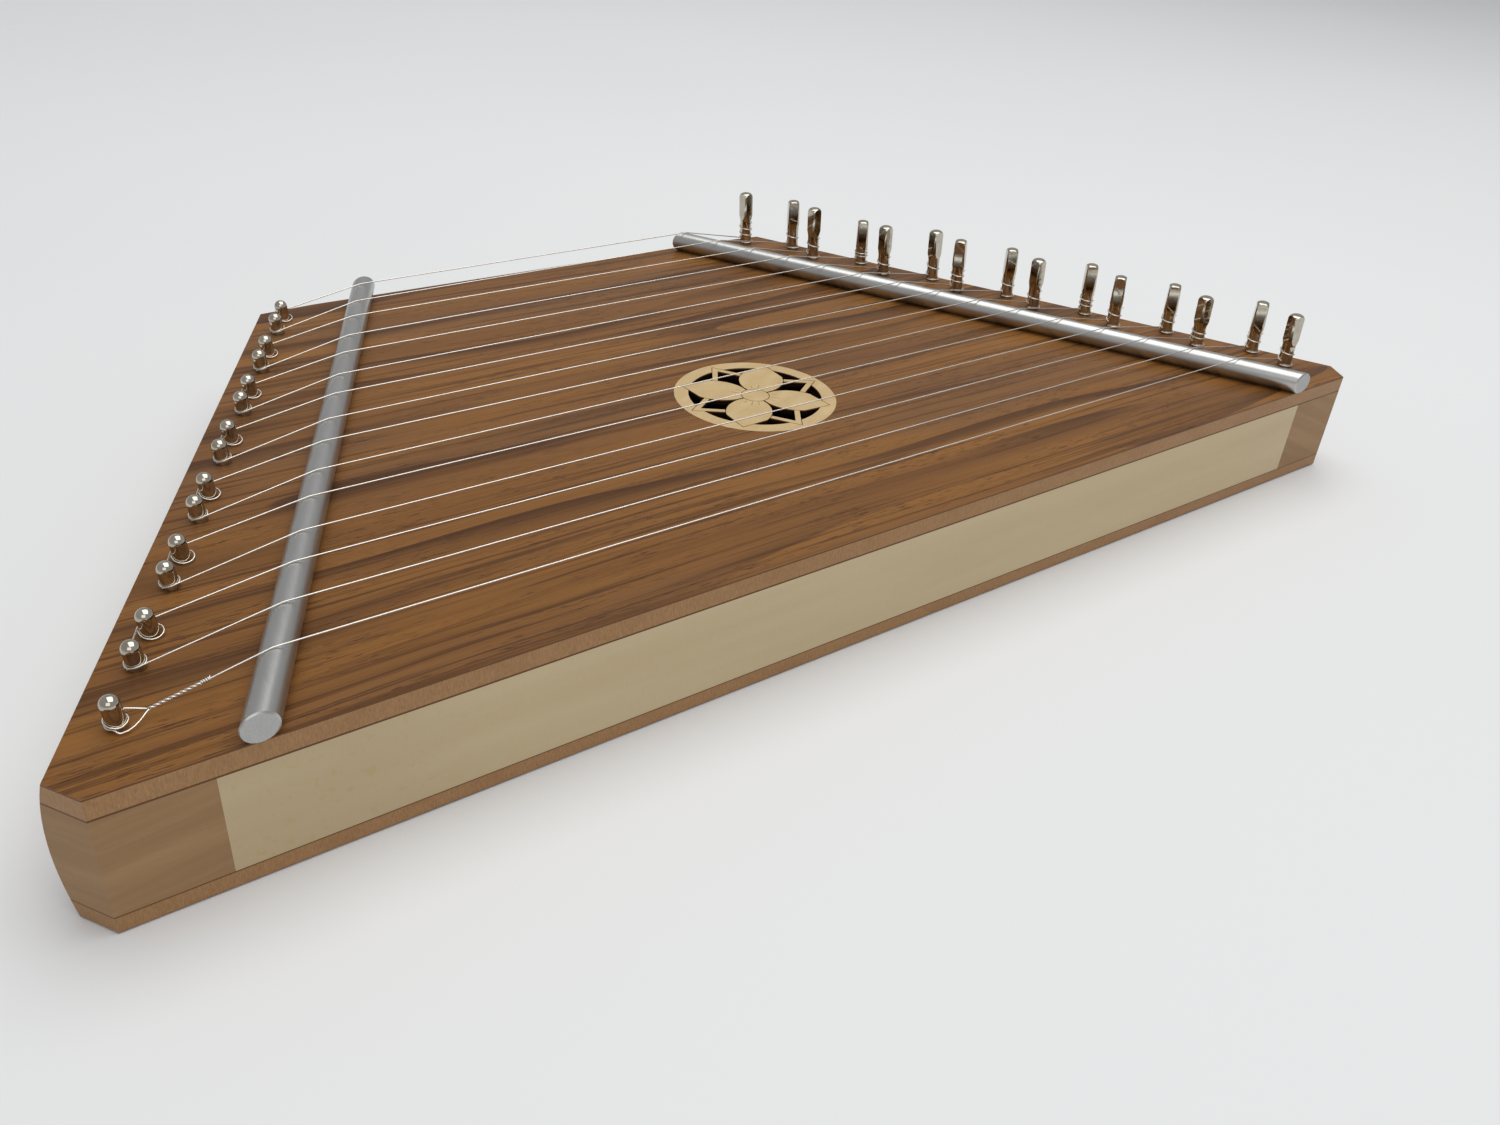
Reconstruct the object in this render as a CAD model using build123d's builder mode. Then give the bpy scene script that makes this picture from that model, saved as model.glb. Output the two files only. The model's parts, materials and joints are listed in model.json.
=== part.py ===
from build123d import *
from math import cos, radians, sin
import os

# Fifteen-string lap zither, in millimetres.
# +X points to the player's right along the long front edge, +Y to the short back edge, +Z up.
# The origin is at the middle of the flat underside.

os.makedirs("parts", exist_ok=True)

# ---- soundbox -------------------------------------------------------------------------------
FRONT_HALF = 233.1          # half the front edge, to the sharp corner
BACK_HALF = 112.5           # half the back edge, to the sharp corner
DEPTH = 235.0               # front face to back face
HEIGHT = 38.0               # underside to soundboard
TOP_THICK = 6.0             # soundboard panel
BACK_THICK = 5.0            # back panel
FRONT_CUT = 10.0            # length taken off each edge at the two front corners
BACK_CUT_SIDE = 1.6         # the back corners are eased: length taken off the side
BACK_CUT_BACK = 19.0        # and off the back edge
SIDE_BOW = 3.0              # how far the slanted sides swell at mid height
EDGE_BREAK = 0.5            # softened lower edge of the back panel
HITCH_BLOCK_WIDTH = 31.0    # solid block under the hitch pins, square to the side
TUNING_BLOCK_WIDTH = 33.2   # solid block under the tuning pins, square to the side
RAIL_THICK = 12.0           # front and back rails
BRACE_WIDTH = 8.0           # bars that stiffen the panels from inside
BRACE_DEPTH = 12.0
TOP_BRACE_Y = (-75.0, 34.0)     # middle of each bar under the soundboard
BACK_BRACE_Y = -18.0            # middle of the bar on the back panel

# ---- rosette --------------------------------------------------------------------------------
ROSETTE_X = 8.4
ROSETTE_Y = -25.6
ROSETTE_RADIUS = 27.9
ROSETTE_THICK = 2.0
ROSETTE_GAP = 0.05          # between the disc and its rebate
RING_INNER = 23.0           # inside of the rosette's outer ring
SOUND_HOLE_RADIUS = 22.5
PETAL_TIP = 25.6            # centre to the point of a petal
PETAL_SHOULDER = (8.0, 17.6)    # where a petal's straight edge begins to curve
PETAL_CHEEK = (2.9, 13.6)
PETAL_WAIST = (0.35, 7.5)       # where it meets the next petal, near the centre
PETAL_ROOT = 0.35           # half the gap between petals
CENTRE_RADIUS = 5.0
BAR_TIP = 26.0              # centre to the point of a bar pair
BAR_FOOT = (7.4, 15.0)      # where a bar's outer edge passes under a petal
BAR_WIDTH = 2.1             # measured along the rosette's edge
BAR_TIP_RATIO = 1.6         # length of the joined tip, in bar widths
ENGRAVE_WIDTH = 0.3
ENGRAVE_DEPTH = 0.2

# ---- bridge rods ----------------------------------------------------------------------------
ROD_RADIUS = 4.0
ROD_SEAT = 0.2              # depth of the shallow groove that each rod lies in
ROD_END_CHAMFER = 0.4
ROD_OVERHANG = 0.8          # rods are cut parallel to the front and back faces, just past them
RIGHT_ROD_SHORT = 3.2       # but the right rod stops this much sooner at the back
LEFT_ROD_X = -188.3         # where each rod's axis crosses its front end
LEFT_ROD_SLOPE = 0.487      # sideways travel for each unit of depth
RIGHT_ROD_X = 192.5
RIGHT_ROD_SLOPE = -0.524

# ---- pins -----------------------------------------------------------------------------------
STRING_COUNT = 15
HITCH_RADIUS = 2.15
HITCH_HEAD_RADIUS = 2.2
HITCH_HEAD_HEIGHT = 2.6
HITCH_ABOVE = 7.6           # soundboard to the top of the head
HITCH_FIRST_RISE = 0.9      # the single pin is driven in less far
HITCH_BELOW = 17.0
HITCH_LEAN = 5.0            # degrees, away from the strings' pull
HITCH_INSET = 10.2          # side edge to pin, measured along X
HITCH_FIRST_INSET = 11.5    # the same for the single pin nearest the front
HITCH_FIRST_Y = -98.2
HITCH_PAIR_Y = -73.7        # middle of the first pair
HITCH_PAIR_PITCH = 29.15
HITCH_PAIR_SPAN = 11.2      # between the two pins of a pair
TUNING_RADIUS = 2.5
TUNING_CLEARANCE = 0.04     # running fit of a tuning pin in its hole
TUNING_ABOVE = 21.0         # soundboard to the top of an average pin
TUNING_BELOW = 20.0
TUNING_HOLE_DEPTH = 22.0
TUNING_LEAN = 4.0           # degrees, towards the strings
TUNING_INSET = 8.6          # side edge to pin at the middle of a pair, along X
TUNING_FIRST_Y = -98.9
TUNING_PITCH = 15.0
HEAD_START = 8.6            # soundboard to the start of the squared head
HEAD_ROUND = 2.95           # radius over the head's rounded corners, pressed out past the pin
HEAD_FLARE = 2.5            # length over which the corners grow out of the round pin
HEAD_FLAT_LOW = 5.2         # across flats at the start of the head
HEAD_TAPER = 1.9            # degrees on each flat
DOME_RADIUS = 1.7
WIRE_HOLE_RADIUS = 0.5
WIRE_HOLE_ABOVE = 8.0
HEAD_TURNS = (73, 37, 77, 39, 35, 49, 5, 54, 33, 89, 8, 53, 5, 63, 8)    # degrees, front to back
PIN_RISES = (0, 0, -0.5, -0.5, 0.3, 0.5, 0.2, 0, 1.2, 0.8, 0.3, -1.7, 1.5, 0.6, 1.7)

# ---- strings --------------------------------------------------------------------------------
WIRE_RADIUS = 0.2
WIRE_GAP = 0.08             # air left between a wire and what it lies against
CREST_GAP = 0.15            # air left between a rod's top and a string's bend point over it
HITCH_WRAP_LOW = 1.1        # wire height above the soundboard at a pair's front pin
HITCH_WRAP_HIGH = 2.4       # and at its back pin
COIL_START = 2.6            # lowest turn on the tuning pin, above the soundboard
COIL_STEP = 1.6
COIL_TURNS = 3
LAST_TURN_ABOVE = 0.9       # turn of the string that meets the pin below the coil
LAST_TURN_GAP = 0.1         # air between that turn and the pin
LAST_TURN_SLACK = 0.12      # straight run left between its quarter turns
RIGHT_CREST_SHIFT = 1.6     # a string crosses the right rod this far behind its pin's middle
LOOP_SLACK = 0.15
LOOP_REACH = 8.0            # pin to the knot of the first string's loop
LOOP_END_GAP = 0.7          # from the string to the cut end of its loop

FRONT_Y = -DEPTH / 2
BACK_Y = DEPTH / 2
BOARD_UNDER = HEIGHT - TOP_THICK
ROD_AXIS_Z = HEIGHT + ROD_RADIUS - ROD_SEAT
STRING_Z = ROD_AXIS_Z + ROD_RADIUS + WIRE_RADIUS + CREST_GAP
HITCH_WRAP_RADIUS = HITCH_RADIUS + WIRE_RADIUS + WIRE_GAP
COIL_RADIUS = TUNING_RADIUS + WIRE_RADIUS
LAST_TURN_RADIUS = COIL_RADIUS + LAST_TURN_GAP
SIDE_SLOPE = (FRONT_HALF - BACK_HALF) / DEPTH
SIDE_DIRECTION = Vector(-SIDE_SLOPE, 1, 0).normalized()
SIDE_OUTWARD = Vector(SIDE_DIRECTION.Y, -SIDE_DIRECTION.X, 0)
REACH = 300.0               # longer than any half of the box, for trimming solids


def side_x(y):
    """Distance from the centre line to the sharp side edge at a depth."""
    return FRONT_HALF - SIDE_SLOPE * (y - FRONT_Y)


def block_x(y, width):
    """Distance from the centre line to the inner face of a pin block."""
    return side_x(y) - width / SIDE_DIRECTION.Y


def rod_x(front_x, slope, y):
    """Where a bridge rod's axis is at a depth."""
    return front_x + slope * (y - FRONT_Y + ROD_OVERHANG)


def mirrored(points):
    """The same outline points on the left, in the order that closes the outline."""
    return [(-x, y) for x, y in reversed(points)]


# ---- where the pins stand -------------------------------------------------------------------
def hitch_positions():
    """Plan positions: one single pin, then seven pairs in one line along the left side."""
    positions = [(HITCH_FIRST_INSET - side_x(HITCH_FIRST_Y), HITCH_FIRST_Y)]
    for pair in range(STRING_COUNT // 2):
        middle = HITCH_PAIR_Y + pair * HITCH_PAIR_PITCH
        for y in (middle - HITCH_PAIR_SPAN / 2, middle + HITCH_PAIR_SPAN / 2):
            positions.append((HITCH_INSET - side_x(y), y))
    return positions


def tuning_positions():
    """Plan positions: each pair stands in line with Y, so the pins form two staggered rows."""
    positions = []
    for index in range(STRING_COUNT):
        pair_middle = TUNING_FIRST_Y + TUNING_PITCH * (2 * (index // 2) + 0.5)
        positions.append((side_x(pair_middle) - TUNING_INSET, TUNING_FIRST_Y + index * TUNING_PITCH))
    return positions


HITCH_PINS = hitch_positions()
TUNING_PINS = tuning_positions()
HITCH_AXIS = Vector(-sin(radians(HITCH_LEAN)), 0, cos(radians(HITCH_LEAN)))
TUNING_AXIS = Vector(-sin(radians(TUNING_LEAN)), 0, cos(radians(TUNING_LEAN)))


def hitch_plane(position, above):
    """Plane square to a hitch pin, a distance along the pin from the soundboard."""
    foot = Vector(position[0], position[1], HEIGHT)
    return Plane(origin=foot + HITCH_AXIS * above, z_dir=HITCH_AXIS)


def tuning_plane(position, above, turn=0):
    """Plane square to a tuning pin, turned about it, a distance along the pin from the soundboard."""
    foot = Vector(position[0], position[1], HEIGHT)
    sideways = Vector(TUNING_AXIS.Z, 0, -TUNING_AXIS.X)
    facing = sideways * cos(radians(turn)) + Vector(0, 1, 0) * sin(radians(turn))
    return Plane(origin=foot + TUNING_AXIS * above, x_dir=facing, z_dir=TUNING_AXIS)


# ---- soundbox shapes, used inside the blocks below ------------------------------------------
def right_outline():
    """Outline points on the right, with the cut corners run out past the swelling side."""
    front_corner = Vector(FRONT_HALF, FRONT_Y, 0)
    back_corner = Vector(BACK_HALF, BACK_Y, 0)
    front_start = front_corner - Vector(FRONT_CUT, 0, 0)
    back_start = back_corner - Vector(BACK_CUT_BACK, 0, 0)
    front_end = front_start + (front_corner + SIDE_DIRECTION * FRONT_CUT - front_start) * 2
    back_end = back_start + (back_corner - SIDE_DIRECTION * BACK_CUT_SIDE - back_start) * 2
    return [(point.X, point.Y) for point in (front_start, front_end, back_end, back_start)]


def add_slab(bottom, thickness):
    """A layer of the box, cut to the outline and to the swelling of its two slanted sides."""
    outline = right_outline()
    with BuildSketch(Plane.XY.offset(bottom)) as plan:
        with BuildLine():
            Polyline(*outline, *mirrored(outline), close=True)
        make_face()
    extrude(plan.sketch, amount=thickness)
    for outward in (SIDE_OUTWARD, Vector(-SIDE_OUTWARD.X, SIDE_OUTWARD.Y, 0)):
        edge_middle = Vector(side_x(0) * (1 if outward.X > 0 else -1), 0, 0)
        across = Plane(origin=edge_middle, x_dir=outward, z_dir=outward.cross(Vector(0, 0, 1)))
        with BuildSketch(across) as section:
            with BuildLine():
                ThreePointArc((0, 0), (SIDE_BOW, HEIGHT / 2), (0, HEIGHT))
                Polyline((0, HEIGHT), (-2 * REACH, HEIGHT), (-2 * REACH, 0), (0, 0))
            make_face()
        extrude(section.sketch, amount=REACH, both=True, mode=Mode.INTERSECT)


def add_bar(y_low, y_high, bottom, thickness):
    """A straight bar that fits between the two pin blocks."""
    with BuildSketch(Plane.XY.offset(bottom)) as plan:
        with BuildLine():
            Polyline(
                (-block_x(y_low, HITCH_BLOCK_WIDTH), y_low),
                (block_x(y_low, TUNING_BLOCK_WIDTH), y_low),
                (block_x(y_high, TUNING_BLOCK_WIDTH), y_high),
                (-block_x(y_high, HITCH_BLOCK_WIDTH), y_high),
                close=True,
            )
        make_face()
    extrude(plan.sketch, amount=thickness)


def keep_strip(side, width):
    """Keep only the strip of a layer that lies within a width of one slanted side."""
    inner_front = side * block_x(-REACH, width)
    inner_back = side * block_x(REACH, width)
    with BuildSketch(Plane.XY) as plan:
        with BuildLine():
            Polyline(
                (inner_front, -REACH),
                (inner_back, REACH),
                (side * 2 * REACH, REACH),
                (side * 2 * REACH, -REACH),
                close=True,
            )
        make_face()
    extrude(plan.sketch, amount=HEIGHT, mode=Mode.INTERSECT)


def cut_tuning_holes():
    for position in TUNING_PINS:
        with BuildSketch(tuning_plane(position, -TUNING_HOLE_DEPTH)) as hole:
            Circle(TUNING_RADIUS + TUNING_CLEARANCE)
        extrude(hole.sketch, amount=TUNING_HOLE_DEPTH + TUNING_RADIUS, mode=Mode.SUBTRACT)


def cut_hitch_holes():
    for position in HITCH_PINS:
        with BuildSketch(hitch_plane(position, -HITCH_BELOW)) as hole:
            Circle(HITCH_RADIUS)
        extrude(hole.sketch, amount=HITCH_BELOW + HITCH_RADIUS, mode=Mode.SUBTRACT)


def rod_plane(front_x, slope):
    """Plane square to a bridge rod, half way along it."""
    return Plane(origin=(rod_x(front_x, slope, 0), 0, ROD_AXIS_Z), z_dir=(slope, 1, 0))


RODS = {
    "bridge_rod_left": (rod_plane(LEFT_ROD_X, LEFT_ROD_SLOPE), 0),
    "bridge_rod_right": (rod_plane(RIGHT_ROD_X, RIGHT_ROD_SLOPE), RIGHT_ROD_SHORT),
}


def finish(part, name):
    part.label = name
    export_step(part, f"parts/{name}.step")


# ---- soundboard and back --------------------------------------------------------------------
with BuildPart() as soundboard:
    add_slab(BOARD_UNDER, TOP_THICK)
    with BuildSketch(Plane.XY.offset(HEIGHT - ROSETTE_THICK)):
        with Locations((ROSETTE_X, ROSETTE_Y)):
            Circle(ROSETTE_RADIUS + ROSETTE_GAP)
    extrude(amount=ROSETTE_THICK, mode=Mode.SUBTRACT)
    with BuildSketch(Plane.XY.offset(BOARD_UNDER)):
        with Locations((ROSETTE_X, ROSETTE_Y)):
            Circle(SOUND_HOLE_RADIUS)
    extrude(amount=TOP_THICK, mode=Mode.SUBTRACT)
    for middle, short in RODS.values():
        with BuildSketch(middle):
            Circle(ROD_RADIUS)
        extrude(amount=REACH, both=True, mode=Mode.SUBTRACT)
    cut_tuning_holes()
    cut_hitch_holes()
finish(soundboard.part, "soundboard")

with BuildPart() as back_panel:
    add_slab(0, BACK_THICK)
    chamfer(back_panel.faces().sort_by(Axis.Z)[0].edges(), EDGE_BREAK)
finish(back_panel.part, "back_panel")

# ---- pin blocks, rails and braces -----------------------------------------------------------
with BuildPart() as hitch_block:
    add_slab(BACK_THICK, BOARD_UNDER - BACK_THICK)
    keep_strip(-1, HITCH_BLOCK_WIDTH)
    cut_hitch_holes()
finish(hitch_block.part, "hitch_pin_block")

with BuildPart() as tuning_block:
    add_slab(BACK_THICK, BOARD_UNDER - BACK_THICK)
    keep_strip(1, TUNING_BLOCK_WIDTH)
    cut_tuning_holes()
finish(tuning_block.part, "tuning_pin_block")

with BuildPart() as front_rail:
    add_bar(FRONT_Y, FRONT_Y + RAIL_THICK, BACK_THICK, BOARD_UNDER - BACK_THICK)
finish(front_rail.part, "front_rail")

with BuildPart() as back_rail:
    add_bar(BACK_Y - RAIL_THICK, BACK_Y, BACK_THICK, BOARD_UNDER - BACK_THICK)
finish(back_rail.part, "back_rail")

for number, brace_y in enumerate(TOP_BRACE_Y, start=1):
    low_y = brace_y - BRACE_WIDTH / 2
    with BuildPart() as top_brace:
        add_bar(low_y, low_y + BRACE_WIDTH, BOARD_UNDER - BRACE_DEPTH, BRACE_DEPTH)
    finish(top_brace.part, f"soundboard_brace_{number}")

with BuildPart() as back_brace:
    add_bar(BACK_BRACE_Y - BRACE_WIDTH / 2, BACK_BRACE_Y + BRACE_WIDTH / 2, BACK_THICK, BRACE_DEPTH)
finish(back_brace.part, "back_brace")


# ---- rosette --------------------------------------------------------------------------------
ROSETTE_TOP = Plane(origin=(ROSETTE_X, ROSETTE_Y, HEIGHT))
TIP_SIDE = PETAL_TIP * cos(radians(45))
QUARTERS = (0, 90, 180, 270)

# One petal: a square tip over the ring, and two sides that curve in to the centre.
with BuildSketch() as petal:
    with BuildLine():
        Line((TIP_SIDE, TIP_SIDE), PETAL_SHOULDER)
        ThreePointArc(PETAL_SHOULDER, PETAL_CHEEK, PETAL_WAIST)
        Polyline(PETAL_WAIST, (PETAL_ROOT, PETAL_ROOT), PETAL_WAIST[::-1])
        ThreePointArc(PETAL_WAIST[::-1], PETAL_CHEEK[::-1], PETAL_SHOULDER[::-1])
        Line(PETAL_SHOULDER[::-1], (TIP_SIDE, TIP_SIDE))
    make_face()

# Two thin bars that meet in a point on the ring, behind the petals.
with BuildSketch() as bar_pair:
    for side in (-1, 1):
        with BuildLine():
            Polyline(
                (0, BAR_TIP),
                (side * BAR_FOOT[0], BAR_FOOT[1]),
                (side * (BAR_FOOT[0] - BAR_WIDTH), BAR_FOOT[1]),
                (0, BAR_TIP - BAR_WIDTH * BAR_TIP_RATIO),
                close=True,
            )
        make_face()

with BuildPart() as rosette:
    with BuildSketch(ROSETTE_TOP.offset(-ROSETTE_THICK)):
        Circle(ROSETTE_RADIUS)
        Circle(RING_INNER, mode=Mode.SUBTRACT)
        Circle(CENTRE_RADIUS)
        for quarter in QUARTERS:
            add(petal.sketch, rotation=quarter)
            add(bar_pair.sketch, rotation=quarter)
    extrude(amount=ROSETTE_THICK)
    with BuildSketch(ROSETTE_TOP):
        for quarter in QUARTERS:
            add(offset(bar_pair.sketch, ENGRAVE_WIDTH, mode=Mode.PRIVATE), rotation=quarter)
        for quarter in QUARTERS:
            add(bar_pair.sketch, rotation=quarter, mode=Mode.SUBTRACT)
        for quarter in QUARTERS:
            add(offset(petal.sketch, ENGRAVE_WIDTH, mode=Mode.PRIVATE), rotation=quarter)
        for quarter in QUARTERS:
            add(petal.sketch, rotation=quarter, mode=Mode.SUBTRACT)
        Circle(CENTRE_RADIUS)
        Circle(CENTRE_RADIUS - ENGRAVE_WIDTH, mode=Mode.SUBTRACT)
    extrude(amount=-ENGRAVE_DEPTH, mode=Mode.SUBTRACT)
finish(rosette.part, "rosette")

# ---- bridge rods ----------------------------------------------------------------------------
for name, (middle, short) in RODS.items():
    with BuildPart() as bridge_rod:
        with BuildSketch(middle):
            Circle(ROD_RADIUS)
        extrude(amount=REACH, both=True)
        with BuildSketch():
            with Locations((0, -short / 2)):
                Rectangle(2 * REACH, DEPTH + 2 * ROD_OVERHANG - short)
        extrude(amount=REACH, mode=Mode.INTERSECT)
        ends = bridge_rod.faces().filter_by(Axis.Y)
        chamfer(ends.edges(), ROD_END_CHAMFER)
    finish(bridge_rod.part, name)

# ---- hitch pins -----------------------------------------------------------------------------
with BuildPart() as hitch_pins:
    for position in HITCH_PINS:
        foot = hitch_plane(position, 0)
        top = HITCH_ABOVE + (HITCH_FIRST_RISE if position == HITCH_PINS[0] else 0)
        with BuildSketch(Plane(origin=foot.origin, x_dir=foot.y_dir, z_dir=foot.y_dir.cross(HITCH_AXIS))):
            with BuildLine():
                Polyline(
                    (0, top),
                    (0, -HITCH_BELOW),
                    (HITCH_RADIUS, -HITCH_BELOW),
                    (HITCH_RADIUS, top - HITCH_HEAD_HEIGHT),
                    (HITCH_HEAD_RADIUS, top - HITCH_HEAD_RADIUS),
                )
                RadiusArc((HITCH_HEAD_RADIUS, top - HITCH_HEAD_RADIUS), (0, top), -HITCH_HEAD_RADIUS)
            make_face()
        revolve(axis=Axis(foot.origin, HITCH_AXIS))
finish(hitch_pins.part, "hitch_pins")


# ---- tuning pins and the wire wound on them -------------------------------------------------
for number, (position, turn, rise) in enumerate(zip(TUNING_PINS, HEAD_TURNS, PIN_RISES), start=1):
    level = tuning_plane(position, rise, turn)
    upright = Plane(origin=level.origin, x_dir=level.x_dir, z_dir=-level.y_dir)
    pin_axis = Axis(level.origin, TUNING_AXIS)
    with BuildPart() as tuning_pin:
        with BuildSketch(tuning_plane(position, rise + HEAD_START, turn)):
            Rectangle(HEAD_FLAT_LOW, HEAD_FLAT_LOW)
        extrude(amount=TUNING_ABOVE - HEAD_START, taper=HEAD_TAPER)
        with BuildSketch(upright):
            with BuildLine():
                Polyline(
                    (0, TUNING_ABOVE),
                    (0, 0),
                    (TUNING_RADIUS, 0),
                    (TUNING_RADIUS, HEAD_START),
                    (HEAD_ROUND, HEAD_START + HEAD_FLARE),
                    (HEAD_ROUND, TUNING_ABOVE - DOME_RADIUS),
                )
                RadiusArc(
                    (HEAD_ROUND, TUNING_ABOVE - DOME_RADIUS),
                    (HEAD_ROUND - DOME_RADIUS, TUNING_ABOVE),
                    -DOME_RADIUS,
                )
                Line((HEAD_ROUND - DOME_RADIUS, TUNING_ABOVE), (0, TUNING_ABOVE))
            make_face()
        revolve(axis=pin_axis, mode=Mode.INTERSECT)
        with BuildSketch(tuning_plane(position, rise - TUNING_BELOW)):
            Circle(TUNING_RADIUS)
        extrude(amount=TUNING_BELOW + HEAD_START)
        with BuildSketch(upright.offset(-REACH)):
            with Locations((0, WIRE_HOLE_ABOVE)):
                Circle(WIRE_HOLE_RADIUS)
        extrude(amount=2 * REACH, mode=Mode.SUBTRACT)
    finish(tuning_pin.part, f"tuning_pin_{number:02d}")

    turn_heights = [COIL_START - rise + COIL_STEP * step for step in range(COIL_TURNS)]
    with BuildPart() as string_coil:
        with BuildSketch(upright):
            with Locations(*[(COIL_RADIUS, height) for height in turn_heights]):
                Circle(WIRE_RADIUS)
            with Locations((COIL_RADIUS, sum(turn_heights) / COIL_TURNS)):
                Rectangle(WIRE_RADIUS, COIL_STEP * (COIL_TURNS - 1))
        revolve(axis=pin_axis)
    finish(string_coil.part, f"string_coil_{number:02d}")


# ---- strings --------------------------------------------------------------------------------
def crest(front_x, slope, start, end):
    """Where the plan line from start to end crosses a bridge rod, at the height of the strings."""
    run_x = end[0] - start[0]
    run_y = end[1] - start[1]
    share = (rod_x(front_x, slope, start[1]) - start[0]) / (run_x - slope * run_y)
    return (start[0] + share * run_x, start[1] + share * run_y, STRING_Z)


def speaking_run(index, hitch_point):
    """Corners of one string, from its last turn under the coil to the left bridge rod."""
    x, y, level = tuning_plane(TUNING_PINS[index], LAST_TURN_ABOVE).origin
    corner = LAST_TURN_RADIUS + LAST_TURN_SLACK
    aim = (rod_x(RIGHT_ROD_X, RIGHT_ROD_SLOPE, y), y + RIGHT_CREST_SHIFT)
    over_right = crest(RIGHT_ROD_X, RIGHT_ROD_SLOPE, hitch_point, aim)
    over_left = crest(LEFT_ROD_X, LEFT_ROD_SLOPE, hitch_point, over_right)
    return [
        ((x - corner, y, level), None),
        ((x - corner, y - corner, level), LAST_TURN_RADIUS),
        ((x + corner, y - corner, level), LAST_TURN_RADIUS),
        ((x + corner, y + corner, level), LAST_TURN_RADIUS),
        (over_right, ROD_RADIUS),
        (over_left, ROD_RADIUS),
    ]


def make_string(corners, name):
    points = [point for point, radius in corners]
    with BuildPart() as string:
        with BuildLine() as route:
            FilletPolyline(*points, radius=[radius for point, radius in corners[1:-1]])
        with BuildSketch(Plane(origin=route.line @ 0, z_dir=route.line % 0)):
            Circle(WIRE_RADIUS)
        sweep(path=route.line)
    finish(string.part, name)


def looped_string():
    """The front string: its end goes round the single pin and back to its own knot."""
    x, y = HITCH_PINS[0]
    corner = HITCH_WRAP_RADIUS + LOOP_SLACK
    low = HEIGHT + HITCH_WRAP_LOW
    high = HEIGHT + HITCH_WRAP_HIGH
    knot = (x + LOOP_REACH, y + WIRE_RADIUS, high)
    return speaking_run(0, knot) + [
        (knot, ROD_RADIUS),
        ((x + WIRE_RADIUS, y - corner, low), ROD_RADIUS),
        ((x - corner, y - corner, low), HITCH_WRAP_RADIUS),
        ((x - corner, y + corner, low), HITCH_WRAP_RADIUS),
        ((x + WIRE_RADIUS, y + corner, low), ROD_RADIUS),
        ((x + LOOP_REACH, y + WIRE_RADIUS + LOOP_END_GAP, high), None),
    ]


def paired_string(front):
    """One wire that makes two strings: it goes round both pins of a pair."""
    front_pin = hitch_plane(HITCH_PINS[front], HITCH_WRAP_LOW).origin
    back_pin = hitch_plane(HITCH_PINS[front + 1], HITCH_WRAP_HIGH).origin
    along = Vector(back_pin.X - front_pin.X, back_pin.Y - front_pin.Y, 0).normalized()
    away = Vector(-along.Y, along.X, 0) * HITCH_WRAP_RADIUS
    front_corner = front_pin + away - along * ((HITCH_WRAP_RADIUS + away.Y) / along.Y)
    back_corner = back_pin + away + along * ((HITCH_WRAP_RADIUS - away.Y) / along.Y)
    front_run = speaking_run(front, (front_pin.X, front_pin.Y - HITCH_WRAP_RADIUS))
    back_run = speaking_run(front + 1, (back_pin.X, back_pin.Y + HITCH_WRAP_RADIUS))
    wraps = [(tuple(front_corner), HITCH_WRAP_RADIUS), (tuple(back_corner), HITCH_WRAP_RADIUS)]
    return front_run + wraps + back_run[::-1]


make_string(looped_string(), "string_01")
for front in range(1, STRING_COUNT, 2):
    make_string(paired_string(front), f"string_{front + 1:02d}_{front + 2:02d}")
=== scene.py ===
import json
from math import cos, pi, radians, sin

import bmesh
import bpy
from mathutils import Matrix, Vector


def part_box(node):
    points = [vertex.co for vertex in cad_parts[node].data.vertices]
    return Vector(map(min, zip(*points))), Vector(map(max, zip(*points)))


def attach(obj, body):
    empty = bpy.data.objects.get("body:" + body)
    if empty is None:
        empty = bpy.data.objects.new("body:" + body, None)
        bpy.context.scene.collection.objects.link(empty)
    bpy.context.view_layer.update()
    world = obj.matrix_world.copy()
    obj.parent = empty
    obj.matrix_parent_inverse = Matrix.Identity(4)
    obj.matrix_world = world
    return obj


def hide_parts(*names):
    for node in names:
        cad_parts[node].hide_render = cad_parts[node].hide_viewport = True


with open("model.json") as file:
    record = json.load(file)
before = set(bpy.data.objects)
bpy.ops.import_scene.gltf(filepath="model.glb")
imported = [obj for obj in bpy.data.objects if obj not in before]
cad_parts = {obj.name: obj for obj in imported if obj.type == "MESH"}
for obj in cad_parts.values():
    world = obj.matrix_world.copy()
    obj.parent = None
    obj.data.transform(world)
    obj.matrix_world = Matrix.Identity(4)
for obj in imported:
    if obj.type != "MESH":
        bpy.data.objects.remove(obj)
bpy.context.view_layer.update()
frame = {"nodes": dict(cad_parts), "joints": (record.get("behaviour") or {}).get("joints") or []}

MM = 0.001
nodes = frame["nodes"]


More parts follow.
